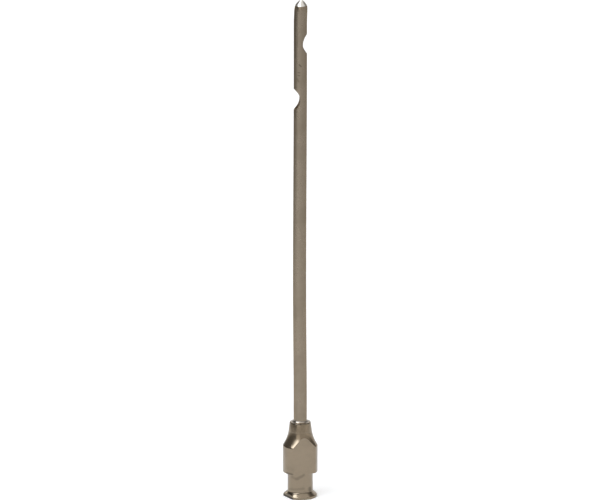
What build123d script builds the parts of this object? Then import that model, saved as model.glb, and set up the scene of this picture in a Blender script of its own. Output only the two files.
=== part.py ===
"""A blunt syringe needle of metal, standing on the mouth of its hub.

The hub is turned from bar in one piece: a lugged flange, a plain collar, a body with two
flats, a hollow flare and a short neck. Inside are a tapered socket for the syringe, a short
lumen and a straight seat for the tube. The tube is soldered into the seat, has two round
openings milled from opposite sides, and is closed at its far end by a ground plug.

Millimetres. The axis is Z, the origin is the centre of the hub's mouth, and +X points to the
side of the upper opening.
"""
import os
from math import cos, radians, sin, tan

from build123d import *

# Whole needle
needle_length = 118.4
hub_height = 17.85

# Flange at the mouth of the hub
flange_radius = 3.9
flange_rim_height = 0.6
flange_flank_angle = 54
flange_across_flats = 6.6
flange_flats_angle = -152
flange_edge_radius = 0.1
flank_root_radius = 0.2

# Collar, body, flare and neck of the hub
collar_radius = 2.92
body_radius = 4.02
body_bottom = 5.97
body_top = 12.26
body_across_flats = 5.9
body_flats_angle = -76
body_edge_chamfer = 0.12
flare_top = 15.69
flare_curve_radius = 9.0
neck_foot_radius = 2.69
neck_top_radius = 2.43
neck_edge_radius = 0.2

# Tapered socket for the nose of a syringe, narrowing by 6 parts in 100 of its diameter
socket_mouth_radius = 2.15
socket_depth = 9.0
socket_taper = 0.06
socket_mouth_chamfer = 0.15

# Tube and its seat in the hub
tube_radius = 1.525
tube_bore_radius = 1.2
hub_lumen_radius = 1.2
seat_floor = 10.5
seat_clearance = 0.02
countersink_width = 0.55
solder_climb = 0.6

# Openings milled through the side of the tube, at their distances from the point
opening_distances = {"upper": 10.43, "lower": 23.62}
opening_depths = {"upper": 1.02, "lower": 1.41}
cutter_radii = {"upper": 3.38, "lower": 3.0}
opening_sides = {"upper": 1, "lower": -1}

# Closed end: the bore of the tube is opened out for the plug, a little deeper than the plug goes
nose_height = 1.3
nose_land = 0.03
plug_length = 4.0
plug_seat_radius = 1.36
plug_relief = 0.3
plug_clearance = 0.01
point_half_angle = 37
point_radius = 0.7

# Heights and radii that follow from the sizes above
socket_end_radius = socket_mouth_radius - socket_depth * socket_taper / 2
seat_radius = tube_radius + seat_clearance
land_radius = plug_seat_radius + nose_land
point_centre = needle_length - point_radius
cone_end_radius = point_radius * cos(radians(point_half_angle))
cone_end_height = point_centre + point_radius * sin(radians(point_half_angle))
nose_top = cone_end_height - (land_radius - cone_end_radius) / tan(radians(point_half_angle))
nose_foot = nose_top - nose_height
plug_bottom = nose_top - plug_length


def corner(section, radius, height):
    """The corner of a section that lies at this radius and height."""
    return section.vertices().sort_by_distance((radius, height))[0]


def hub_flats(across, direction, bottom, top):
    """Mill a pair of parallel flats on the hub, one of which faces this direction."""
    with Locations((0, 0, bottom)):
        with PolarLocations(radius=across / 2, count=2, start_angle=direction):
            Box(
                body_radius,
                4 * body_radius,
                top - bottom,
                align=(Align.MIN, Align.CENTER, Align.MIN),
                mode=Mode.SUBTRACT,
            )


# Hub: the outside is one turned section
with BuildPart() as hub:
    flank_height = (flange_radius - collar_radius) / tan(radians(flange_flank_angle))
    flank_top = flange_rim_height + flank_height
    collar_middle = (flank_top + body_bottom) / 2
    with BuildSketch(Plane.XZ) as hub_section:
        with BuildLine():
            Polyline(
                (0, 0),
                (flange_radius, 0),
                (flange_radius, flange_rim_height),
                (collar_radius, flank_top),
                (collar_radius, body_bottom),
                (body_radius, body_bottom),
                (body_radius, body_top),
            )
            RadiusArc((body_radius, body_top), (neck_foot_radius, flare_top), flare_curve_radius)
            Polyline(
                (neck_foot_radius, flare_top),
                (neck_top_radius, hub_height),
                (0, hub_height),
                (0, 0),
            )
        make_face()
        fillet(corner(hub_section, flange_radius, 0), flange_edge_radius)
        fillet(corner(hub_section, flange_radius, flange_rim_height), flange_edge_radius)
        fillet(corner(hub_section, collar_radius, flank_top), flank_root_radius)
        fillet(corner(hub_section, neck_top_radius, hub_height), neck_edge_radius)
        chamfer(corner(hub_section, body_radius, body_bottom), body_edge_chamfer)
        chamfer(corner(hub_section, body_radius, body_top), body_edge_chamfer)
    revolve(axis=Axis.Z)

    # Two flats on the body run out in arches on the flare; two on the flange leave its lugs
    hub_flats(body_across_flats, body_flats_angle, collar_middle, hub_height)
    hub_flats(flange_across_flats, flange_flats_angle, 0, collar_middle)

    # Socket with an eased mouth, lumen, and seat with a countersink for the solder
    with BuildSketch(Plane.XZ) as socket_section:
        with BuildLine():
            Polyline(
                (0, 0),
                (socket_mouth_radius + socket_mouth_chamfer, 0),
                (socket_mouth_radius, socket_mouth_chamfer),
                (socket_end_radius, socket_depth),
                (hub_lumen_radius, socket_depth),
                (hub_lumen_radius, seat_floor),
                (seat_radius, seat_floor),
                (seat_radius, hub_height - countersink_width),
                (seat_radius + countersink_width, hub_height),
                (0, hub_height),
                (0, 0),
            )
        make_face()
    revolve(axis=Axis.Z, mode=Mode.SUBTRACT)

hub.part.label = "hub"

# Tube: open at the hub, drawn in to a land at the far end, with an opening on each side
with BuildPart() as cannula_tube:
    with BuildSketch(Plane.XZ):
        with BuildLine():
            Polyline(
                (land_radius, nose_top),
                (plug_seat_radius, nose_top),
                (plug_seat_radius, plug_bottom - plug_relief),
                (tube_bore_radius, plug_bottom - plug_relief),
                (tube_bore_radius, seat_floor),
                (tube_radius, seat_floor),
                (tube_radius, nose_foot),
            )
            TangentArc((tube_radius, nose_foot), (land_radius, nose_top), tangent=(0, 1))
        make_face()
    revolve(axis=Axis.Z)

    for name, side in opening_sides.items():
        cutter_offset = side * (tube_radius - opening_depths[name] + cutter_radii[name])
        opening_height = needle_length - opening_distances[name]
        with BuildSketch(Plane.XZ):
            with Locations((cutter_offset, opening_height)):
                Circle(cutter_radii[name])
        extrude(amount=2 * tube_radius, both=True, mode=Mode.SUBTRACT)

cannula_tube.part.label = "cannula_tube"

# Plug: a pin in the bore of the tube, with a head ground to a rounded point
with BuildPart() as tip_plug:
    plug_radius = plug_seat_radius - plug_clearance
    with BuildSketch(Plane.XZ):
        with BuildLine():
            Polyline(
                (0, needle_length),
                (0, plug_bottom),
                (plug_radius, plug_bottom),
                (plug_radius, nose_top),
                (land_radius, nose_top),
                (cone_end_radius, cone_end_height),
            )
            RadiusArc((cone_end_radius, cone_end_height), (0, needle_length), -point_radius)
        make_face()
    revolve(axis=Axis.Z)

tip_plug.part.label = "tip_plug"

# Solder: fills the countersink and climbs the tube in a hollow curve
with BuildPart() as solder_ring:
    solder_radius = seat_radius + countersink_width
    with BuildSketch(Plane.XZ):
        with BuildLine():
            Polyline(
                (solder_radius, hub_height),
                (seat_radius, hub_height - countersink_width),
                (tube_radius, hub_height - countersink_width),
                (tube_radius, hub_height + solder_climb),
            )
            TangentArc(
                (tube_radius, hub_height + solder_climb),
                (solder_radius, hub_height),
                tangent=(0, -1),
            )
        make_face()
    revolve(axis=Axis.Z)

solder_ring.part.label = "solder_ring"

os.makedirs("parts", exist_ok=True)
export_step(hub.part, "parts/hub.step")
export_step(cannula_tube.part, "parts/cannula_tube.step")
export_step(tip_plug.part, "parts/tip_plug.step")
export_step(solder_ring.part, "parts/solder_ring.step")
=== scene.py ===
"""Looks of a blunt metal syringe needle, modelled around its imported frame.

The pieces replace the frame's solids one for one, with the same form and finer edges. Sizes of
the needle are millimetres, as a maker would note them, and become metres through MM. The studio
round it is given in metres.
"""

import math

import bmesh
import bpy
from mathutils import Matrix, Vector


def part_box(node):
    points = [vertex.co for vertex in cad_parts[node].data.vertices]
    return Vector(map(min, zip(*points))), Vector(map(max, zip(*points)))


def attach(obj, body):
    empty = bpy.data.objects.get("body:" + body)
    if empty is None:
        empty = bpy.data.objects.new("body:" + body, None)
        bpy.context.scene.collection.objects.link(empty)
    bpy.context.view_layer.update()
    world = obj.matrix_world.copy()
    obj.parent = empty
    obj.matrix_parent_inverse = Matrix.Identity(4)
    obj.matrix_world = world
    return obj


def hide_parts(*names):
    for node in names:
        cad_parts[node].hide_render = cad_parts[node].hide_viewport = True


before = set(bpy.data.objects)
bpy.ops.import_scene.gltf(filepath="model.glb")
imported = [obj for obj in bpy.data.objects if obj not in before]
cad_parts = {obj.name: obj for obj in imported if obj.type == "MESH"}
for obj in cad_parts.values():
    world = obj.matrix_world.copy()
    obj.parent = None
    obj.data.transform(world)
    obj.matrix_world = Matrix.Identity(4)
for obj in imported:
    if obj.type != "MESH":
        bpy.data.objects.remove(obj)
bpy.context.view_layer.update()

bl_info = {
    "name": "Blunt syringe needle",
    "version": (1, 0, 0),
    "blender": (4, 5, 0),
    "location": "View3D > Sidebar > Needle",
    "description": "Hub, tube, ground point and solder of a metal syringe needle",
    "category": "Object",
}

MM = 0.001
HUB_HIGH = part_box("hub")[1]
TUBE_LOW, TUBE_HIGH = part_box("cannula_tube")
PLUG_LOW, PLUG_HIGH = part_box("tip_plug")
SOLDER_LOW, SOLDER_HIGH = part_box("solder_ring")

# Steps once round each piece, and along its curves
HUB_STEPS = 256
TUBE_STEPS = 128
SOLDER_STEPS = 160
CUTTER_STEPS = 240
FLARE_STEPS = 18
NOSE_STEPS = 8
CLIMB_STEPS = 10

# Edges of the tube's section longer than this, in mm, are divided so that the tube can bow
LONG_EDGE = 50
LONG_EDGE_CUTS = 40

# Milled edges are broken by this width, in mm; the angles are those that count as sharp
EDGE_BREAK = 0.05
EDGE_STEPS = 2
SMOOTH_ANGLE = math.radians(32)
BURR_ANGLE = math.radians(35)

# The cutter of the openings, in mm: its length, the distance within which the cut's points become
# one, and how near the cutter's wall a point of the lip lies
CUTTER_LENGTH = 8
CUT_MERGE = 0.012
LIP_REACH = 0.01

# Tolerances in metres: points that are in the same place, and points that lie in a plane
SAME_PLACE = 1e-7
IN_PLANE = 1e-8

# Faces within this radius, in mm, belong to a bore if their normal along the radius is below INWARD
HUB_BORE_REACH = 2.2
TUBE_BORE_REACH = 1.4
INWARD = -0.3

# How far the tube stands to one side along its length, as pairs of height and shift in mm
BOW = ((22, 0), (50, -0.147), (105, 0.04), (113.5, 0.04), (118.4, 0.25))

# The uneven rim of the solder: waves as a share of its climb, their count round it and their phase
SOLDER_WAVES = ((0.16, 2, 0.6), (0.07, 5, 1.9))

# Shares of the age film and of the line marks in a metal's colour, and of the lines in its
# roughness; how dark a stain or a patch of painted shade is beside the film; the roughness of the clear skin
FILM_SHARE = 0.3
LINE_SHARE = 0.15
LINE_GRAIN = 0.06
STAIN_AND_SHADE_TONE = 0.22
COAT_ROUGHNESS = 0.12

# The brown scale, and how dark its clouds are beside it
SCALE_METALLIC = 0.1
SCALE_ROUGHNESS = 0.65
CLOUD_TONE = 0.6

# The pace of the coarse rings beside the fine ones, and how uneven the edge of a mark is
COARSE_SHARE = 0.18
RAGGEDNESS = 0.6

# The photograph's view: angles in degrees, lengths in metres, the image's width in pixels, and
# AIM_HEIGHT and AIM_SHIFT for the place that its middle looks at
VIEW_AZIMUTH = -4.0
VIEW_ELEVATION = 15.5
VIEW_DISTANCE = 5.0
PIXEL_SIZE = 0.00023
IMAGE_WIDTH = 600
AIM_HEIGHT = 0.05882
AIM_SHIFT = -0.00005

# The floor: its half width, what the camera sees of it, its painted shade over the distance from the
# needle, falling off as light does far out, and the painted shade over the distance towards the dim side,
# behind on the left
FLOOR_REACH = 4
FLOOR_WHITE = 1.2
NEAR_AND_FAR = (0.06, 0.5)
FLOOR_TONES = (0.88, 0.55)
DUSK_SIDE = (-0.906, -0.423)
DUSK_SPAN = (0.13, 0.33)
DUSK_TONES = (1.0, 0.42)

# The world as the camera and reflections see it, and as light on the floor; the lamps; the cards
WORLD_WHITE = 1.0
WORLD_FILL = 0.92
LAMP_HEIGHT = 0.8
LAMP_COLOUR = (0.93, 1.0, 1.1)
CARD_COLOUR = (1, 0.97, 0.93, 1)
CARD_STEPS = 24


class NeedleHubSizes(bpy.types.PropertyGroup):
    """Sizes of the hub, in millimetres."""

    height: bpy.props.FloatProperty(
        name="Height", description="Height of the hub, in mm", default=HUB_HIGH.z / MM
    )
    body_radius: bpy.props.FloatProperty(
        name="Body radius", description="Radius of the body, in mm", default=HUB_HIGH.x / MM
    )
    flange_radius: bpy.props.FloatProperty(
        name="Flange radius", description="Radius of the flange, in mm", default=3.9
    )
    rim_height: bpy.props.FloatProperty(
        name="Rim height", description="Thickness of the flange at its rim, in mm", default=0.6
    )
    flank_top: bpy.props.FloatProperty(
        name="Flank top", description="Height where the flange meets the collar, in mm", default=1.312
    )
    flange_flats: bpy.props.FloatProperty(
        name="Flange flats", description="Flange across its flats, in mm", default=6.6
    )
    flange_turn: bpy.props.FloatProperty(
        name="Flange turn", description="Direction of the flange's flats, in degrees", default=-152
    )
    collar_radius: bpy.props.FloatProperty(
        name="Collar radius", description="Radius above the flange, in mm", default=2.92
    )
    body_bottom: bpy.props.FloatProperty(
        name="Body bottom", description="Height of the body's lower end, in mm", default=5.97
    )
    body_top: bpy.props.FloatProperty(
        name="Body top", description="Height where the flare begins, in mm", default=12.26
    )
    body_flats: bpy.props.FloatProperty(
        name="Body flats", description="Body across its flats, in mm", default=5.9
    )
    body_turn: bpy.props.FloatProperty(
        name="Body turn", description="Direction of the body's flats, in degrees", default=-76
    )
    flare_top: bpy.props.FloatProperty(
        name="Flare top", description="Height where the neck begins, in mm", default=15.69
    )
    flare_curve: bpy.props.FloatProperty(
        name="Flare curve", description="Radius of the hollow of the flare, in mm", default=9.0
    )
    neck_foot: bpy.props.FloatProperty(
        name="Neck foot", description="Radius of the neck at its foot, in mm", default=2.69
    )
    neck_top: bpy.props.FloatProperty(
        name="Neck top", description="Radius of the neck at its top, in mm", default=2.43
    )
    seat: bpy.props.FloatProperty(
        name="Seat", description="Radius of the seat for the tube, in mm", default=1.545
    )
    countersink: bpy.props.FloatProperty(
        name="Countersink", description="Width of the countersink for the solder, in mm", default=0.55
    )
    lumen: bpy.props.FloatProperty(
        name="Lumen", description="Radius of the bore between socket and seat, in mm", default=1.2
    )
    socket_mouth: bpy.props.FloatProperty(
        name="Socket mouth", description="Radius of the tapered socket at its mouth, in mm", default=2.15
    )
    socket_end: bpy.props.FloatProperty(
        name="Socket end", description="Radius of the tapered socket at its end, in mm", default=1.88
    )
    socket_depth: bpy.props.FloatProperty(
        name="Socket depth", description="Depth of the tapered socket, in mm", default=9.0
    )
    mouth_chamfer: bpy.props.FloatProperty(
        name="Mouth chamfer", description="Chamfer at the mouth of the socket, in mm", default=0.15
    )


class NeedleTubeSizes(bpy.types.PropertyGroup):
    """Sizes of the tube and its closed end, in millimetres."""

    radius: bpy.props.FloatProperty(
        name="Radius", description="Outer radius of the tube, in mm", default=TUBE_HIGH.x / MM
    )
    bore: bpy.props.FloatProperty(
        name="Bore", description="Radius of the bore of the tube, in mm", default=1.2
    )
    plug_seat: bpy.props.FloatProperty(
        name="Plug seat", description="Radius of the bore where the plug sits, in mm", default=1.36
    )
    land: bpy.props.FloatProperty(
        name="Land", description="Radius where the tube meets the point, in mm", default=PLUG_HIGH.x / MM
    )
    plug_relief: bpy.props.FloatProperty(
        name="Plug relief", description="Depth of the seat past the plug, in mm", default=0.3
    )
    plug_clearance: bpy.props.FloatProperty(
        name="Plug clearance", description="Room round the plug in its seat, in mm", default=0.01
    )
    nose_height: bpy.props.FloatProperty(
        name="Nose height", description="Length of the tube that is drawn in, in mm", default=1.3
    )
    upper_opening: bpy.props.FloatVectorProperty(
        name="Upper opening",
        description="Distance from the point, depth and cutter radius of the upper opening, in mm",
        default=(10.43, 1.02, 3.38),
    )
    lower_opening: bpy.props.FloatVectorProperty(
        name="Lower opening",
        description="Distance from the point, depth and cutter radius of the lower opening, in mm",
        default=(23.62, 1.41, 3.0),
    )
    flank_radius: bpy.props.FloatProperty(
        name="Flank radius", description="Radius to which the point's flank is ground, in mm", default=3.4
    )
    point_radius: bpy.props.FloatProperty(
        name="Point radius", description="Radius of the rounded end, in mm", default=0.4
    )


class NeedleFinish(bpy.types.PropertyGroup):
    """Colours of the metals."""

    plate: bpy.props.FloatVectorProperty(
        name="Plate", description="Dull plate on the hub", subtype="COLOR", default=(0.372, 0.297, 0.21)
    )
    steel: bpy.props.FloatVectorProperty(
        name="Steel", description="Drawn steel of the tube", subtype="COLOR", default=(0.374, 0.306, 0.228)
    )
    ground: bpy.props.FloatVectorProperty(
        name="Ground steel", description="Ground point", subtype="COLOR", default=(0.88, 0.845, 0.78)
    )
    # Pale, so that the solder's unshaded middle stands as a painted highlight
    solder: bpy.props.FloatVectorProperty(
        name="Solder", description="Solder at the neck", subtype="COLOR", default=(0.6, 0.535, 0.46)
    )
    scale: bpy.props.FloatVectorProperty(
        name="Scale", description="Brown scale inside the bores", subtype="COLOR", default=(0.3, 0.235, 0.165)
    )
    tarnish: bpy.props.FloatVectorProperty(
        name="Tarnish", description="Brown film of age", subtype="COLOR", default=(0.22, 0.18, 0.13)
    )


# Modelling helpers


def new_piece(name, bm):
    """Write a finished mesh to an object at the origin, smooth except at its sharp edges."""
    mesh = bpy.data.meshes.new(name)
    bm.to_mesh(mesh)
    bm.free()
    mesh.shade_smooth()
    mesh.set_sharp_from_angle(angle=SMOOTH_ANGLE)
    piece = bpy.data.objects.new(name, mesh)
    bpy.context.scene.collection.objects.link(piece)
    return piece


def finish_piece(piece, node, slot, *metals):
    """Put a piece under the root body in place of the frame's node that it stands for, which is hidden, and
    give it its metals.
    """
    for metal in metals:
        piece.data.materials.append(bpy.data.materials[metal])
    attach(piece, "root")
    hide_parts(node)


def outline(bm, corners, roundings, closed=True):
    """Draw a section in the XZ plane from its corners, in mm, and round those that have a radius."""
    verts = [bm.verts.new((r * MM, 0, z * MM)) for r, z in corners]
    pairs = list(zip(verts, verts[1:] + verts[:1])) if closed else list(zip(verts, verts[1:]))
    for a, b in pairs:
        bm.edges.new((a, b))
    for index, (size, steps) in roundings.items():
        bmesh.ops.bevel(
            bm,
            geom=[verts[index]],
            offset=size * MM,
            offset_type="OFFSET",
            segments=steps,
            profile=0.5,
            affect="VERTICES",
            clamp_overlap=True,
            material=-1,
        )


def turn(bm, steps):
    """Spin the section once round the Z axis, close it and point its faces outwards."""
    bmesh.ops.spin(
        bm,
        geom=bm.verts[:] + bm.edges[:],
        cent=(0, 0, 0),
        axis=(0, 0, 1),
        dvec=(0, 0, 0),
        angle=math.tau,
        steps=steps,
        use_merge=True,
        use_duplicate=False,
    )
    bmesh.ops.remove_doubles(bm, verts=bm.verts, dist=SAME_PLACE)
    bmesh.ops.dissolve_degenerate(bm, dist=IN_PLANE, edges=bm.edges)
    bmesh.ops.recalc_face_normals(bm, faces=bm.faces)


def ease_edges(bm, edges):
    """Break some sharp edges of a piece, as a maker does with a fine stone."""
    bmesh.ops.bevel(
        bm,
        geom=edges,
        offset=EDGE_BREAK * MM,
        offset_type="OFFSET",
        segments=EDGE_STEPS,
        profile=0.5,
        affect="EDGES",
        clamp_overlap=True,
        material=-1,
    )


def mill_flats(bm, across, low, high, turn_deg):
    """Cut a pair of flats over one stretch of a turned piece, between two heights in mm."""
    for side in (0, 180):
        angle = math.radians(turn_deg + side)
        normal = Vector((math.cos(angle), math.sin(angle), 0))
        faces = [f for f in bm.faces if low * MM < f.calc_center_median().z < high * MM]
        edges = {e for f in faces for e in f.edges}
        verts = {v for f in faces for v in f.verts}
        bmesh.ops.bisect_plane(
            bm,
            geom=faces + list(edges) + list(verts),
            dist=IN_PLANE,
            plane_co=normal * (across / 2 * MM),
            plane_no=normal,
            clear_outer=True,
        )
        rim = [e for e in bm.edges if e.is_boundary]
        flat = bmesh.ops.edgeloop_fill(bm, edges=rim)["faces"]
        bmesh.ops.recalc_face_normals(bm, faces=bm.faces)
        ease_edges(bm, list({e for f in flat for e in f.edges}))


def mill_opening(piece, centre, radius):
    """Cut one round opening across the tube, and take the burr off its edge."""
    bm = bmesh.new()
    bmesh.ops.create_cone(
        bm,
        cap_ends=True,
        segments=CUTTER_STEPS,
        radius1=radius * MM,
        radius2=radius * MM,
        depth=CUTTER_LENGTH * MM,
    )
    bmesh.ops.rotate(bm, verts=bm.verts, cent=(0, 0, 0), matrix=Matrix.Rotation(math.pi / 2, 3, "X"))
    bmesh.ops.translate(bm, verts=bm.verts, vec=centre * MM)
    mesh = bpy.data.meshes.new("cutter")
    bm.to_mesh(mesh)
    bm.free()
    cutter = bpy.data.objects.new("cutter", mesh)
    bpy.context.scene.collection.objects.link(cutter)
    cut = piece.modifiers.new("opening", "BOOLEAN")
    cut.operation = "DIFFERENCE"
    cut.solver = "EXACT"
    cut.object = cutter
    milled = piece.evaluated_get(bpy.context.evaluated_depsgraph_get())
    result = bpy.data.meshes.new_from_object(milled)
    piece.modifiers.remove(cut)
    bpy.data.objects.remove(cutter)

    bm = bmesh.new()
    bm.from_mesh(result)
    bmesh.ops.remove_doubles(bm, verts=bm.verts, dist=CUT_MERGE * MM)

    def on_cutter(vert):
        out = math.hypot(vert.co.x / MM - centre.x, vert.co.z / MM - centre.z)
        return abs(out - radius) < LIP_REACH

    lip = [
        e
        for e in bm.edges
        if on_cutter(e.verts[0]) and on_cutter(e.verts[1]) and len(e.link_faces) == 2
        and e.calc_face_angle() > BURR_ANGLE
    ]
    ease_edges(bm, lip)
    bm.to_mesh(result)
    bm.free()
    piece.data = result


def finish_tube(piece):
    """Mark the bore of the milled tube, and bend it."""
    bm = bmesh.new()
    bm.from_mesh(piece.data)
    mark_bore(bm, TUBE_BORE_REACH)
    bow(bm)
    bm.to_mesh(piece.data)
    bm.free()


def mark_bore(bm, radius):
    """Give the faces that look at the axis from this radius or less the finish of a bore."""
    for face in bm.faces:
        middle = face.calc_center_median()
        out = Vector((middle.x, middle.y, 0))
        looks_in = face.normal.dot(out.normalized()) < INWARD
        face.material_index = int(out.length < radius * MM and looks_in)


def arc_between(start, end, radius, steps):
    """Points of an arc between two corners of a section, in mm, without its ends.

    The section is followed upwards, and a positive radius makes the arc hollow.
    """
    (r0, z0), (r1, z1) = start, end
    chord = math.hypot(r1 - r0, z1 - z0)
    middle = ((r0 + r1) / 2, (z0 + z1) / 2)
    rise = math.copysign(math.sqrt(radius**2 - (chord / 2) ** 2), radius)
    normal = ((z1 - z0) / chord, -(r1 - r0) / chord)
    centre = (middle[0] + normal[0] * rise, middle[1] + normal[1] * rise)
    first = math.atan2(z0 - centre[1], r0 - centre[0])
    last = math.atan2(z1 - centre[1], r1 - centre[0])
    if last - first > math.pi:
        last -= math.tau
    if first - last > math.pi:
        last += math.tau
    angles = [first + (last - first) * i / steps for i in range(1, steps)]
    size = abs(radius)
    return [(centre[0] + size * math.cos(a), centre[1] + size * math.sin(a)) for a in angles]


def ogive(base, top, flank_radius, point_radius, steps=10):
    """The flank and the cap of a ground point, in mm: two arcs that run smoothly into each other."""
    middle = Vector((0, top - point_radius))
    start = Vector(base)
    across = middle - start
    inner_radius = flank_radius - point_radius
    along = (flank_radius**2 - inner_radius**2 + across.length_squared) / (2 * across.length)
    rise = math.sqrt(flank_radius**2 - along**2)
    across.normalize()
    centre = start + across * along + Vector((-across.y, across.x)) * rise
    joint = centre + (middle - centre).normalized() * flank_radius
    slope = math.atan2(joint.y - middle.y, joint.x)
    turns = [slope + (math.pi / 2 - slope) * i / steps for i in range(steps)]
    cap = [(point_radius * math.cos(a), middle.y + point_radius * math.sin(a)) for a in turns]
    return arc_between(base, tuple(joint), -flank_radius, steps), cap


def bow(bm):
    """Bend a piece with the slight bow that the tube has taken in use."""
    for vert in bm.verts:
        height = vert.co.z / MM
        for (low, start), (high, end) in zip(BOW, BOW[1:]):
            if low < height <= high:
                share = (height - low) / (high - low)
                vert.co.x += (start + (end - start) * share * share * (3 - 2 * share)) * MM


# Shader node groups


def add_node(tree, kind, **values):
    """Add a node and set its properties."""
    node = tree.nodes.new(kind)
    for key, value in values.items():
        setattr(node, key, value)
    return node


def math_node(tree, operation, a, b=None, clamp=False):
    """Add a math node whose inputs are sockets or numbers, and return its output."""
    node = add_node(tree, "ShaderNodeMath", operation=operation, use_clamp=clamp)
    for index, value in enumerate((a, b)):
        if value is None:
            continue
        if isinstance(value, bpy.types.NodeSocket):
            tree.links.new(value, node.inputs[index])
        else:
            node.inputs[index].default_value = value
    return node.outputs[0]


def map_range(tree, value, span, tones):
    """Add a node that turns one span of a value into another, and return its output."""
    node = add_node(tree, "ShaderNodeMapRange")
    node.inputs["From Min"].default_value, node.inputs["From Max"].default_value = span
    node.inputs["To Min"].default_value, node.inputs["To Max"].default_value = tones
    tree.links.new(value, node.inputs["Value"])
    return node.outputs["Result"]


def start_group(name, inputs, outputs):
    """Make an empty shader node group with named float sockets."""
    group = bpy.data.node_groups.new(name, "ShaderNodeTree")
    for label, default in inputs:
        socket = group.interface.new_socket(label, in_out="INPUT", socket_type="NodeSocketFloat")
        socket.default_value = default
    for label in outputs:
        group.interface.new_socket(label, in_out="OUTPUT", socket_type="NodeSocketFloat")
    return group, group.nodes.new("NodeGroupInput"), group.nodes.new("NodeGroupOutput")


def ring_marks_group():
    """Fine turning marks: rings round the axis, finer than the eye separates."""
    group, inputs, outputs = start_group("Ring marks", [("Fineness", 9000.0)], ["Height", "Mask"])
    place = add_node(group, "ShaderNodeTexCoord").outputs["Object"]
    split = add_node(group, "ShaderNodeSeparateXYZ")
    group.links.new(place, split.inputs[0])
    x2 = math_node(group, "MULTIPLY", split.outputs["X"], split.outputs["X"])
    y2 = math_node(group, "MULTIPLY", split.outputs["Y"], split.outputs["Y"])
    radius = math_node(group, "SQRT", math_node(group, "ADD", x2, y2))
    along = math_node(group, "ADD", split.outputs["Z"], radius)
    fine = add_node(group, "ShaderNodeTexNoise", noise_dimensions="1D")
    fine.inputs["Scale"].default_value = 1.0
    fine.inputs["Detail"].default_value = 4.0
    fine.inputs["Roughness"].default_value = 0.65
    group.links.new(math_node(group, "MULTIPLY", along, inputs.outputs["Fineness"]), fine.inputs["W"])
    group.links.new(fine.outputs["Fac"], outputs.inputs["Height"])
    coarse = add_node(group, "ShaderNodeTexNoise", noise_dimensions="1D")
    coarse.inputs["Scale"].default_value = 1.0
    coarse.inputs["Detail"].default_value = 2.0
    slow = math_node(group, "MULTIPLY", inputs.outputs["Fineness"], COARSE_SHARE)
    group.links.new(math_node(group, "MULTIPLY", along, slow), coarse.inputs["W"])
    group.links.new(coarse.outputs["Fac"], outputs.inputs["Mask"])
    return group


def draw_marks_group():
    """Drawing marks: faint lines along the tube."""
    group, inputs, outputs = start_group("Draw marks", [("Fineness", 9000.0)], ["Height", "Mask"])
    place = add_node(group, "ShaderNodeTexCoord").outputs["Object"]
    for label, scale, stretch, detail in (("Height", 1.0, 0.012, 3.0), ("Mask", 0.12, 0.03, 2.0)):
        split = add_node(group, "ShaderNodeSeparateXYZ")
        group.links.new(place, split.inputs[0])
        join = add_node(group, "ShaderNodeCombineXYZ")
        across = math_node(group, "MULTIPLY", inputs.outputs["Fineness"], scale)
        group.links.new(math_node(group, "MULTIPLY", split.outputs["X"], across), join.inputs["X"])
        group.links.new(math_node(group, "MULTIPLY", split.outputs["Y"], across), join.inputs["Y"])
        slow = math_node(group, "MULTIPLY", across, stretch)
        group.links.new(math_node(group, "MULTIPLY", split.outputs["Z"], slow), join.inputs["Z"])
        marks = add_node(group, "ShaderNodeTexNoise")
        marks.inputs["Scale"].default_value = 1.0
        marks.inputs["Detail"].default_value = detail
        group.links.new(join.outputs[0], marks.inputs["Vector"])
        group.links.new(marks.outputs["Fac"], outputs.inputs[label])
    return group


def age_group():
    """Cloudy film of age and handling, with a soft threshold."""
    group, inputs, outputs = start_group(
        "Age film", [("Size", 220.0), ("Low", 0.45), ("High", 0.7)], ["Mask"]
    )
    place = add_node(group, "ShaderNodeTexCoord").outputs["Object"]
    cloud = add_node(group, "ShaderNodeTexNoise")
    cloud.inputs["Detail"].default_value = 5.0
    cloud.inputs["Roughness"].default_value = 0.6
    group.links.new(place, cloud.inputs["Vector"])
    group.links.new(inputs.outputs["Size"], cloud.inputs["Scale"])
    spread = add_node(group, "ShaderNodeMapRange", interpolation_type="SMOOTHSTEP")
    group.links.new(cloud.outputs["Fac"], spread.inputs["Value"])
    group.links.new(inputs.outputs["Low"], spread.inputs["From Min"])
    group.links.new(inputs.outputs["High"], spread.inputs["From Max"])
    group.links.new(spread.outputs["Result"], outputs.inputs["Mask"])
    return group


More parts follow.
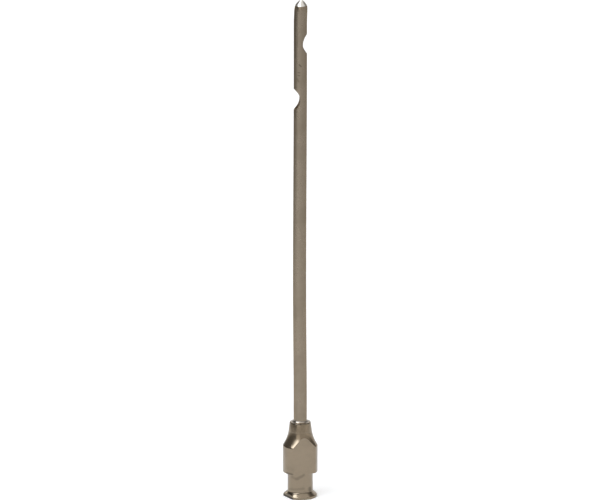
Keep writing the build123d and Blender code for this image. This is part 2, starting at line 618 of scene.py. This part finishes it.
def mark_group():
    """One scratch or streak, or one patch of painted shade: full on the line between two places, fading over
    its width.
    """
    group, inputs, outputs = start_group("Mark", [("Width", 0.0002), ("Strength", 1.0)], ["Mask"])
    for label in ("From", "To"):
        group.interface.new_socket(label, in_out="INPUT", socket_type="NodeSocketVector")
    place = add_node(group, "ShaderNodeTexCoord").outputs["Object"]

    def vector(operation, a, b, output="Vector"):
        node = add_node(group, "ShaderNodeVectorMath", operation=operation)
        group.links.new(a, node.inputs[0])
        group.links.new(b, node.inputs[3 if operation == "SCALE" else 1])
        return node.outputs[output]

    start = inputs.outputs["From"]
    along = vector("SUBTRACT", inputs.outputs["To"], start)
    out = vector("SUBTRACT", place, start)
    reach = vector("DOT_PRODUCT", out, along, "Value")
    length = vector("DOT_PRODUCT", along, along, "Value")
    share = math_node(group, "DIVIDE", reach, length, clamp=True)
    apart = vector("DISTANCE", out, vector("SCALE", along, share), "Value")
    ragged = add_node(group, "ShaderNodeTexNoise")
    ragged.inputs["Scale"].default_value = 2500.0
    group.links.new(place, ragged.inputs["Vector"])
    uneven = math_node(group, "MULTIPLY", ragged.outputs["Fac"], RAGGEDNESS)
    uneven = math_node(group, "ADD", uneven, 1 - RAGGEDNESS / 2)
    apart = math_node(group, "MULTIPLY", apart, uneven)
    inside = math_node(group, "DIVIDE", apart, inputs.outputs["Width"])
    fade = add_node(group, "ShaderNodeMapRange", interpolation_type="SMOOTHSTEP")
    fade.inputs["From Min"].default_value = 1.0
    fade.inputs["From Max"].default_value = 0.3
    group.links.new(inside, fade.inputs["Value"])
    full = math_node(group, "MULTIPLY", fade.outputs["Result"], inputs.outputs["Strength"])
    group.links.new(full, outputs.inputs["Mask"])
    return group


def use_group(tree, group, **values):
    """Place a node group in a material with its own values."""
    node = add_node(tree, "ShaderNodeGroup", node_tree=group)
    for label, value in values.items():
        node.inputs[label].default_value = value
    return node


def metal_material(
    name, colour, film, marks, film_values, roughness, mark_depth, stains_and_painted_shade=(), coat=0.0, edge=(1, 1, 1)
):
    """A metal with its marks as bump and roughness, and films of age and stains in its colour.

    The roughness goes from clean to filmed metal, the marks' depth is in mm, edge tints the metal
    where it is seen at a low angle, and a stain or a patch of painted shade is its two ends, its width in mm
    and its strength.
    """
    material = bpy.data.materials.new(name)
    material.use_nodes = True
    tree = material.node_tree
    surface = tree.nodes["Principled BSDF"]
    surface.inputs["Metallic"].default_value = 1.0
    surface.inputs["Coat Weight"].default_value = coat
    surface.inputs["Coat Roughness"].default_value = COAT_ROUGHNESS
    surface.inputs["Specular Tint"].default_value = (*edge, 1)

    age = use_group(tree, bpy.data.node_groups["Age film"], **film_values)
    lines = use_group(tree, bpy.data.node_groups[marks])

    tint = add_node(tree, "ShaderNodeMix", data_type="RGBA", blend_type="MIX")
    tint.inputs["A"].default_value = (*colour, 1)
    tint.inputs["B"].default_value = (*film, 1)
    share = math_node(tree, "MULTIPLY", age.outputs["Mask"], FILM_SHARE)
    line_share = math_node(tree, "MULTIPLY", lines.outputs["Mask"], LINE_SHARE)
    tree.links.new(math_node(tree, "ADD", share, line_share), tint.inputs["Factor"])
    shown = tint.outputs["Result"]

    # Stains, and patches of painted shade, darken the colour along their lines
    if stains_and_painted_shade:
        stained_or_shaded = None
        for start, end, width, strength in stains_and_painted_shade:
            mark = use_group(
                tree, bpy.data.node_groups["Mark"], From=Vector(start) * MM, To=Vector(end) * MM,
                Width=width * MM, Strength=strength,
            ).outputs["Mask"]
            stained_or_shaded = mark if stained_or_shaded is None else math_node(tree, "MAXIMUM", stained_or_shaded, mark)
        dark = add_node(tree, "ShaderNodeMix", data_type="RGBA", blend_type="MIX")
        tree.links.new(stained_or_shaded, dark.inputs["Factor"])
        tree.links.new(shown, dark.inputs["A"])
        dark.inputs["B"].default_value = (*(STAIN_AND_SHADE_TONE * c for c in film), 1)
        shown = dark.outputs["Result"]
    tree.links.new(shown, surface.inputs["Base Color"])

    dull = math_node(tree, "MULTIPLY", age.outputs["Mask"], roughness[1] - roughness[0])
    grain = math_node(tree, "MULTIPLY", lines.outputs["Mask"], LINE_GRAIN)
    rough = math_node(tree, "ADD", math_node(tree, "ADD", dull, grain), roughness[0])
    tree.links.new(rough, surface.inputs["Roughness"])

    bump = add_node(tree, "ShaderNodeBump")
    bump.inputs["Strength"].default_value = 1.0
    bump.inputs["Distance"].default_value = mark_depth * MM
    tree.links.new(lines.outputs["Height"], bump.inputs["Height"])
    tree.links.new(bump.outputs["Normal"], surface.inputs["Normal"])
    return material


def bore_material(colour):
    """The inside of the bores: a rough brown scale that no tool has polished."""
    material = bpy.data.materials.new("Brown scale")
    material.use_nodes = True
    tree = material.node_tree
    surface = tree.nodes["Principled BSDF"]
    surface.inputs["Metallic"].default_value = SCALE_METALLIC
    surface.inputs["Roughness"].default_value = SCALE_ROUGHNESS
    age = use_group(tree, bpy.data.node_groups["Age film"], Size=900.0, Low=0.35, High=0.75)
    tint = add_node(tree, "ShaderNodeMix", data_type="RGBA", blend_type="MIX")
    tint.inputs["A"].default_value = (*colour, 1)
    tint.inputs["B"].default_value = (*(CLOUD_TONE * c for c in colour), 1)
    tree.links.new(age.outputs["Mask"], tint.inputs["Factor"])
    tree.links.new(tint.outputs["Result"], surface.inputs["Base Color"])
    return material


def on_hub(azimuth, radius, height):
    """A place on the hub: degrees to the right of the photograph's view, radius and height in mm."""
    turn_to = math.radians(VIEW_AZIMUTH + azimuth)
    return (radius * math.sin(turn_to), -radius * math.cos(turn_to), height)


def ring_of_painted_shade(first, last, radius, heights, width, strength, steps=4):
    """Painted shade that follows the turned surface between two azimuths, as short straight marks."""
    places = []
    for step in range(steps + 1):
        share = step / steps
        height = heights[0] + (heights[1] - heights[0]) * share
        places.append(on_hub(first + (last - first) * share, radius, height))
    return [(start, end, width, strength) for start, end in zip(places, places[1:])]


# Operators


class NEEDLE_OT_materials(bpy.types.Operator):
    """Make the four metals, the scale in the bores and the node groups that they share"""

    bl_idname = "needle.materials"
    bl_label = "Metals"

    def execute(self, context):
        finish = context.scene.needle_finish
        ring_marks_group()
        draw_marks_group()
        age_group()
        mark_group()
        tarnish = tuple(finish.tarnish)
        metal_material(
            "Dull plate", tuple(finish.plate), tarnish, "Ring marks",
            film_values={"Size": 260.0, "Low": 0.45, "High": 0.72},
            roughness=(0.14, 0.22),
            mark_depth=0.0011,
            # Painted shade: the shoulder's shadow on the collar, shade under the body's lower edge, at the
            # collar's root and along the flange's rim, and dark patches that trim reflections on the flange's
            # flank and the neck's rim
            stains_and_painted_shade=(
                (on_hub(-42, 2.92, 5.15), on_hub(-16, 2.92, 4.75), 0.5, 0.2),
                (on_hub(-22, 2.92, 4.85), on_hub(-10, 2.92, 4.78), 0.4, 0.3),
                (on_hub(-14, 2.92, 4.85), on_hub(16, 2.92, 5.75), 0.5, 0.27),
                (on_hub(-50, 4.02, 6.2), on_hub(-27, 4.02, 6.12), 0.36, 0.5),
                (on_hub(50, 2.95, 2.2), on_hub(54, 3.3, 1.0), 0.8, 0.5),
                *ring_of_painted_shade(-58, 16, 2.92, (2.1, 2.5), 0.42, 0.22),
                (on_hub(-86, 3.75, 0.3), on_hub(-29, 3.75, 0.22), 0.45, 0.95),
                *ring_of_painted_shade(-60, -42, 3.3, (0.95, 1.05), 0.6, 0.7),
                *ring_of_painted_shade(-36, 40, 3.0, (1.38, 1.38), 0.3, 0.35),
                *ring_of_painted_shade(-40, -8, 3.12, (1.2, 1.2), 0.26, 0.6),
                *ring_of_painted_shade(-40, 4, 2.38, (17.8, 17.8), 0.3, 0.8),
                *ring_of_painted_shade(4, 60, 2.4, (17.78, 17.78), 0.22, 0.5),
            ),
            coat=0.35,
        )
        metal_material(
            "Drawn steel", tuple(finish.steel), tarnish, "Draw marks",
            film_values={"Size": 180.0, "Low": 0.42, "High": 0.7},
            roughness=(0.24, 0.32),
            mark_depth=0.002,
            # Scratches across the tube and faint dark lines along its upper part
            stains_and_painted_shade=(
                ((-0.35, -1.48, 103.35), (0.1, -1.52, 102.9), 0.2, 0.55),
                ((-0.6, -1.4, 101.45), (-0.15, -1.52, 101.4), 0.16, 0.5),
                ((-0.65, -1.38, 100.75), (-0.2, -1.5, 100.7), 0.16, 0.5),
                ((-0.75, -1.33, 99.9), (-0.5, -1.44, 99.3), 0.3, 0.3),
                ((-0.72, -1.34, 113.5), (-0.68, -1.36, 107.5), 0.2, 0.2),
                ((-1.2, -0.95, 115.5), (-1.2, -0.95, 105), 0.45, 0.22),
            ),
            edge=(0.8, 0.7, 0.56),
        )
        metal_material(
            "Ground steel", tuple(finish.ground), tarnish, "Ring marks",
            film_values={"Size": 600.0, "Low": 0.6, "High": 0.9},
            roughness=(0.24, 0.3),
            mark_depth=0.0004,
        )
        metal_material(
            "Solder with painted highlight", tuple(finish.solder), tarnish, "Ring marks",
            film_values={"Size": 500.0, "Low": 0.5, "High": 0.8},
            roughness=(0.26, 0.36),
            mark_depth=0.0003,
            # Painted shade on the solder's sides and where it meets the tube, so that its pale middle stands
            # as a painted highlight
            stains_and_painted_shade=(
                *ring_of_painted_shade(-90, -42, 1.75, (17.98, 17.98), 0.42, 0.62),
                *ring_of_painted_shade(44, 100, 1.75, (17.98, 17.98), 0.42, 0.6),
                *ring_of_painted_shade(-45, 30, 1.55, (18.3, 18.3), 0.24, 0.6),
            ),
        )
        bore_material(tuple(finish.scale))
        return {"FINISHED"}


class NEEDLE_OT_hub(bpy.types.Operator):
    """Turn the hub, mill its flats and bore its socket"""

    bl_idname = "needle.hub"
    bl_label = "Hub"

    def execute(self, context):
        size = context.scene.needle_hub
        shoulder = (size.body_radius, size.body_top)
        neck = (size.neck_foot, size.flare_top)
        corners = [
            (size.socket_mouth + size.mouth_chamfer, 0),
            (size.flange_radius, 0),
            (size.flange_radius, size.rim_height),
            (size.collar_radius, size.flank_top),
            (size.collar_radius, size.body_bottom),
            (size.body_radius, size.body_bottom),
            shoulder,
            *arc_between(shoulder, neck, size.flare_curve, FLARE_STEPS),
            neck,
            (size.neck_top, size.height),
            (size.seat + size.countersink, size.height),
            (size.seat, size.height - size.countersink),
            (size.seat, TUBE_LOW.z / MM),
            (size.lumen, TUBE_LOW.z / MM),
            (size.lumen, size.socket_depth),
            (size.socket_end, size.socket_depth),
            (size.socket_mouth, size.mouth_chamfer),
        ]
        # Radius and steps of each eased corner: both edges of the rim, the flank's root, the
        # corner under the body, both edges of the body, and the edge of the neck
        eased = {1: (0.1, 3), 2: (0.12, 3), 3: (0.2, 4), 4: (0.06, 2), 5: (0.1, 3), 6: (0.16, 4)}
        eased[corners.index((size.neck_top, size.height))] = (0.2, 4)
        bm = bmesh.new()
        outline(bm, corners, eased)
        turn(bm, HUB_STEPS)
        collar_middle = (size.flank_top + size.body_bottom) / 2
        mill_flats(bm, size.body_flats, collar_middle, size.height, size.body_turn)
        below = -size.rim_height
        mill_flats(bm, size.flange_flats, below, collar_middle, size.flange_turn)
        mark_bore(bm, HUB_BORE_REACH)
        piece = new_piece("hub_body", bm)
        finish_piece(piece, "hub", "plated_hub", "Dull plate", "Brown scale")
        return {"FINISHED"}


class NEEDLE_OT_tube(bpy.types.Operator):
    """Turn the tube with its drawn-in end and mill its two openings"""

    bl_idname = "needle.tube"
    bl_label = "Tube"

    def execute(self, context):
        size = context.scene.needle_tube
        foot, end = TUBE_LOW.z / MM, TUBE_HIGH.z / MM
        seat_foot = PLUG_LOW.z / MM - size.plug_relief
        nose_foot = end - size.nose_height
        draw_in = size.radius - size.land
        nose_curve = (size.nose_height**2 + draw_in**2) / (2 * draw_in)
        corners = [
            (size.bore, foot),
            (size.radius, foot),
            (size.radius, nose_foot),
            *arc_between((size.radius, nose_foot), (size.land, end), -nose_curve, NOSE_STEPS),
            (size.land, end),
            (size.plug_seat, end),
            (size.plug_seat, seat_foot),
            (size.bore, seat_foot),
        ]
        # Radius and steps of each eased corner: both edges of the foot, and the land's
        eased = {0: (0.04, 2), 1: (0.06, 2), corners.index((size.land, end)): (0.04, 3)}
        bm = bmesh.new()
        outline(bm, corners, eased)
        long_edges = [e for e in bm.edges if e.calc_length() > LONG_EDGE * MM]
        bmesh.ops.subdivide_edges(bm, edges=long_edges, cuts=LONG_EDGE_CUTS, use_grid_fill=False)
        turn(bm, TUBE_STEPS)
        piece = new_piece("tube", bm)
        for side, (distance, depth, cutter) in ((1, size.upper_opening), (-1, size.lower_opening)):
            centre = Vector((side * (size.radius - depth + cutter), 0, PLUG_HIGH.z / MM - distance))
            mill_opening(piece, centre, cutter)
        finish_tube(piece)
        piece.data.set_sharp_from_angle(angle=SMOOTH_ANGLE)
        finish_piece(piece, "cannula_tube", "tube_steel", "Drawn steel", "Brown scale")
        return {"FINISHED"}


class NEEDLE_OT_point(bpy.types.Operator):
    """Turn the plug and grind its rounded point"""

    bl_idname = "needle.point"
    bl_label = "Point"

    def execute(self, context):
        size = context.scene.needle_tube
        foot, top = PLUG_LOW.z / MM, PLUG_HIGH.z / MM
        shoulder = TUBE_HIGH.z / MM
        shank = size.plug_seat - size.plug_clearance
        base = (size.land, shoulder)
        flank, cap = ogive(base, top, size.flank_radius, size.point_radius)
        corners = [(0, foot), (shank, foot), (shank, shoulder), base, *flank, *cap, (0, top)]
        # Radius and steps of each eased corner: the shank's end and the edge of the point
        eased = {1: (0.06, 2), 3: (0.05, 3)}
        bm = bmesh.new()
        outline(bm, corners, eased, closed=False)
        turn(bm, TUBE_STEPS)
        bow(bm)
        piece = new_piece("point", bm)
        finish_piece(piece, "tip_plug", "ground_steel", "Ground steel")
        return {"FINISHED"}


class NEEDLE_OT_solder(bpy.types.Operator):
    """Let the solder climb the tube, a little unevenly"""

    bl_idname = "needle.solder"
    bl_label = "Solder"

    def execute(self, context):
        hub = context.scene.needle_hub
        tube = context.scene.needle_tube
        low, rim, climb = SOLDER_LOW.z / MM, hub.height, SOLDER_HIGH.z / MM
        wide = hub.seat + hub.countersink
        run = wide - tube.radius
        rise = climb - rim
        curve = (run**2 + rise**2) / (2 * run)
        hollow = arc_between((wide, rim), (tube.radius, climb), curve, CLIMB_STEPS)
        corners = [(hub.seat, low), (wide, rim), *hollow, (tube.radius, climb), (tube.radius, low)]
        bm = bmesh.new()
        outline(bm, corners, {})
        turn(bm, SOLDER_STEPS)
        crest = sum(swell for swell, *_ in SOLDER_WAVES)
        for vert in bm.verts:
            height = vert.co.z / MM - rim
            if height > 0:
                around = math.atan2(vert.co.y, vert.co.x)
                wave = sum(swell * math.sin(n * around + phase) for swell, n, phase in SOLDER_WAVES)
                vert.co.z += min(height / rise, 1) * (wave - crest) * rise * MM
        piece = new_piece("solder", bm)
        finish_piece(piece, "solder_ring", "solder", "Solder with painted highlight")
        return {"FINISHED"}


class NEEDLE_OT_stage(bpy.types.Operator):
    """Lay the floor, hang the lamps and set the camera"""

    bl_idname = "needle.stage"
    bl_label = "Stage"

    def execute(self, context):
        make_floor()
        make_world()
        make_lamps()
        make_cards()
        make_camera()
        return {"FINISHED"}


# Stage


def make_camera():
    """A long lens that looks down on the needle at the photograph's angle."""
    data = bpy.data.cameras.new("Camera")
    data.sensor_width = 36
    data.lens = data.sensor_width * VIEW_DISTANCE / (PIXEL_SIZE * IMAGE_WIDTH)
    data.clip_start = 0.1
    data.clip_end = 20
    camera = bpy.data.objects.new("Camera", data)
    bpy.context.scene.collection.objects.link(camera)
    a, e = math.radians(VIEW_AZIMUTH), math.radians(VIEW_ELEVATION)
    back = Vector((math.sin(a) * math.cos(e), -math.cos(a) * math.cos(e), math.sin(e)))
    right = Vector((math.cos(a), math.sin(a), 0))
    camera.location = right * AIM_SHIFT + Vector((0, 0, AIM_HEIGHT)) + back * VIEW_DISTANCE
    camera.rotation_mode = "QUATERNION"
    camera.rotation_quaternion = (-back).to_track_quat("-Z", "Y")
    bpy.context.scene.camera = camera


def make_world():
    """White to the camera and to reflections, softer as light on the floor."""
    world = bpy.data.worlds.new("Studio")
    world.use_nodes = True
    tree = world.node_tree
    tree.nodes.clear()
    output = add_node(tree, "ShaderNodeOutputWorld")
    path = add_node(tree, "ShaderNodeLightPath")
    seen = math_node(tree, "ADD", path.outputs["Is Camera Ray"], path.outputs["Is Glossy Ray"])
    seen = math_node(tree, "ADD", seen, path.outputs["Is Transmission Ray"], clamp=True)
    white = add_node(tree, "ShaderNodeBackground")
    white.inputs["Strength"].default_value = WORLD_WHITE
    fill = add_node(tree, "ShaderNodeBackground")
    fill.inputs["Strength"].default_value = WORLD_FILL
    mix = add_node(tree, "ShaderNodeMixShader")
    tree.links.new(seen, mix.inputs["Fac"])
    tree.links.new(fill.outputs[0], mix.inputs[1])
    tree.links.new(white.outputs[0], mix.inputs[2])
    tree.links.new(mix.outputs[0], output.inputs["Surface"])
    bpy.context.scene.world = world


def make_floor():
    """A pale floor with painted shade, darker far out and behind on the left, that keeps a soft shadow."""
    bm = bmesh.new()
    bmesh.ops.create_grid(bm, x_segments=1, y_segments=1, size=FLOOR_REACH)
    mesh = bpy.data.meshes.new("floor")
    bm.to_mesh(mesh)
    bm.free()
    floor = bpy.data.objects.new("floor", mesh)
    bpy.context.scene.collection.objects.link(floor)
    material = bpy.data.materials.new("Pale floor")
    material.use_nodes = True
    tree = material.node_tree
    surface = tree.nodes["Principled BSDF"]
    surface.inputs["Roughness"].default_value = 1.0
    surface.inputs["Specular IOR Level"].default_value = 0.0
    surface.inputs["Emission Color"].default_value = (1, 1, 1, 1)
    place = add_node(tree, "ShaderNodeTexCoord").outputs["Object"]
    out = add_node(tree, "ShaderNodeVectorMath", operation="LENGTH")
    tree.links.new(place, out.inputs[0])
    # Painted shade: the floor's colour falls off far out and towards the dim side, as light would
    tone = map_range(tree, out.outputs["Value"], NEAR_AND_FAR, FLOOR_TONES)
    toward = add_node(tree, "ShaderNodeVectorMath", operation="DOT_PRODUCT")
    tree.links.new(place, toward.inputs[0])
    toward.inputs[1].default_value = from_view(*DUSK_SIDE, 0)
    dusk = map_range(tree, toward.outputs["Value"], DUSK_SPAN, DUSK_TONES)
    shade = math_node(tree, "MULTIPLY", tone, dusk)
    tree.links.new(shade, surface.inputs["Base Color"])
    path = add_node(tree, "ShaderNodeLightPath")
    white = math_node(tree, "SUBTRACT", FLOOR_WHITE, shade)
    glow = math_node(tree, "MULTIPLY", path.outputs["Is Camera Ray"], white)
    tree.links.new(glow, surface.inputs["Emission Strength"])
    mesh.materials.append(material)


def from_view(right, near, height):
    """A place given to the right of the needle and towards the camera, in metres."""
    a = math.radians(VIEW_AZIMUTH)
    x = right * math.cos(a) + near * math.sin(a)
    y = right * math.sin(a) - near * math.cos(a)
    return Vector((x, y, height))


def make_lamp(name, right, near, width, length, radiance, lights_floor=True):
    """A soft rectangular lamp that faces down, in metres, set by the radiance of its face."""
    data = bpy.data.lights.new(name, "AREA")
    data.shape = "RECTANGLE"
    data.size = width
    data.size_y = length
    data.energy = radiance * math.pi * width * length
    data.color = LAMP_COLOUR
    lamp = bpy.data.objects.new(name, data)
    bpy.context.scene.collection.objects.link(lamp)
    lamp.location = from_view(right, near, LAMP_HEIGHT)
    lamp.rotation_euler = (0, 0, math.radians(VIEW_AZIMUTH))
    lamp.visible_diffuse = lights_floor


def make_lamps():
    """A long soft box overhead on the left, and two that show only in the metal.

    The dim one widens the bright stripe on the flare, and the small one gives the bright spot on
    the flange.
    """
    make_lamp("soft_box", -0.585, 0.94, 0.67, 1.68, 2.47)
    make_lamp("dim_box", -1.06, 1.0, 0.28, 1.4, 1.1, lights_floor=False)
    make_lamp("small_box", -0.27, -0.11, 0.3, 0.36, 2.75, lights_floor=False)


def make_cards():
    """Cards round the stage that show only in reflections.

    Each has its distance, its first and last azimuth from the view, its foot and top, and its
    brightness. The left is dark, and the right darkens towards the back. The front is dim with a
    paler patch, and one small bright card stands close by, left at the back.
    """
    for name, distance, first, last, foot, top, shade in (
        ("card_left_low", 1.0, -148, -46, 0.0, 0.05, 0.45),
        ("card_left", 1.0, -162, -72, 0.05, 0.88, 0.15),
        ("card_left_back", 1.0, -160, -96, 0.88, 1.6, 0.15),
        ("card_left_middle", 1.0, -72, -56, 0.05, 0.62, 0.16),
        ("card_left_near", 1.0, -56, -38, 0.05, 0.39, 0.17),
        ("card_left_spot", 0.25, -160, -145, 0.07, 0.112, 2.4),
        ("card_front", 1.02, -56, 50, 0.0, 0.42, 0.55),
        ("card_glow", 1.0, -34, -4, 0.14, 0.42, 0.85),
        ("card_right_low", 1.0, 50, 150, 0.0, 0.12, 0.7),
        ("card_right", 1.0, 50, 82, 0.12, 0.75, 0.48),
        ("card_right_middle", 1.0, 82, 95, 0.12, 1.45, 0.36),
        ("card_right_back", 1.0, 95, 134, 0.12, 1.45, 0.18),
    ):
        bm = bmesh.new()
        start = math.radians(VIEW_AZIMUTH + first)
        edge = Vector((math.sin(start), -math.cos(start), 0))
        low = bm.verts.new(edge * distance + Vector((0, 0, foot)))
        high = bm.verts.new(edge * distance + Vector((0, 0, top)))
        bm.edges.new((low, high))
        bmesh.ops.spin(
            bm,
            geom=bm.verts[:] + bm.edges[:],
            cent=(0, 0, 0),
            axis=(0, 0, 1),
            dvec=(0, 0, 0),
            angle=math.radians(last - first),
            steps=CARD_STEPS,
            use_merge=False,
            use_duplicate=False,
        )
        mesh = bpy.data.meshes.new(name)
        bm.to_mesh(mesh)
        bm.free()
        card = bpy.data.objects.new(name, mesh)
        bpy.context.scene.collection.objects.link(card)
        material = bpy.data.materials.new(name)
        material.use_nodes = True
        surface = material.node_tree.nodes["Principled BSDF"]
        surface.inputs["Base Color"].default_value = (0, 0, 0, 1)
        surface.inputs["Specular IOR Level"].default_value = 0.0
        surface.inputs["Emission Color"].default_value = CARD_COLOUR
        surface.inputs["Emission Strength"].default_value = shade
        mesh.materials.append(material)
        card.visible_camera = False
        card.visible_diffuse = False
        card.visible_shadow = False


class NEEDLE_PT_panel(bpy.types.Panel):
    """Steps of the needle, in order"""

    bl_idname = "NEEDLE_PT_panel"
    bl_label = "Needle"
    bl_space_type = "VIEW_3D"
    bl_region_type = "UI"
    bl_category = "Needle"

    def draw(self, context):
        for step in STEPS:
            self.layout.operator(step.bl_idname)


STEPS = (
    NEEDLE_OT_materials,
    NEEDLE_OT_hub,
    NEEDLE_OT_tube,
    NEEDLE_OT_point,
    NEEDLE_OT_solder,
    NEEDLE_OT_stage,
)
CLASSES = (NeedleHubSizes, NeedleTubeSizes, NeedleFinish, *STEPS, NEEDLE_PT_panel)


def register():
    for cls in CLASSES:
        bpy.utils.register_class(cls)
    bpy.types.Scene.needle_hub = bpy.props.PointerProperty(type=NeedleHubSizes)
    bpy.types.Scene.needle_tube = bpy.props.PointerProperty(type=NeedleTubeSizes)
    bpy.types.Scene.needle_finish = bpy.props.PointerProperty(type=NeedleFinish)


def unregister():
    del bpy.types.Scene.needle_finish
    del bpy.types.Scene.needle_tube
    del bpy.types.Scene.needle_hub
    for cls in reversed(CLASSES):
        bpy.utils.unregister_class(cls)


def main():
    register()
    bpy.context.scene.view_settings.view_transform = "Standard"
    bpy.ops.needle.materials()
    bpy.ops.needle.hub()
    bpy.ops.needle.tube()
    bpy.ops.needle.point()
    bpy.ops.needle.solder()
    bpy.ops.needle.stage()


if __name__ == "__main__":
    main()
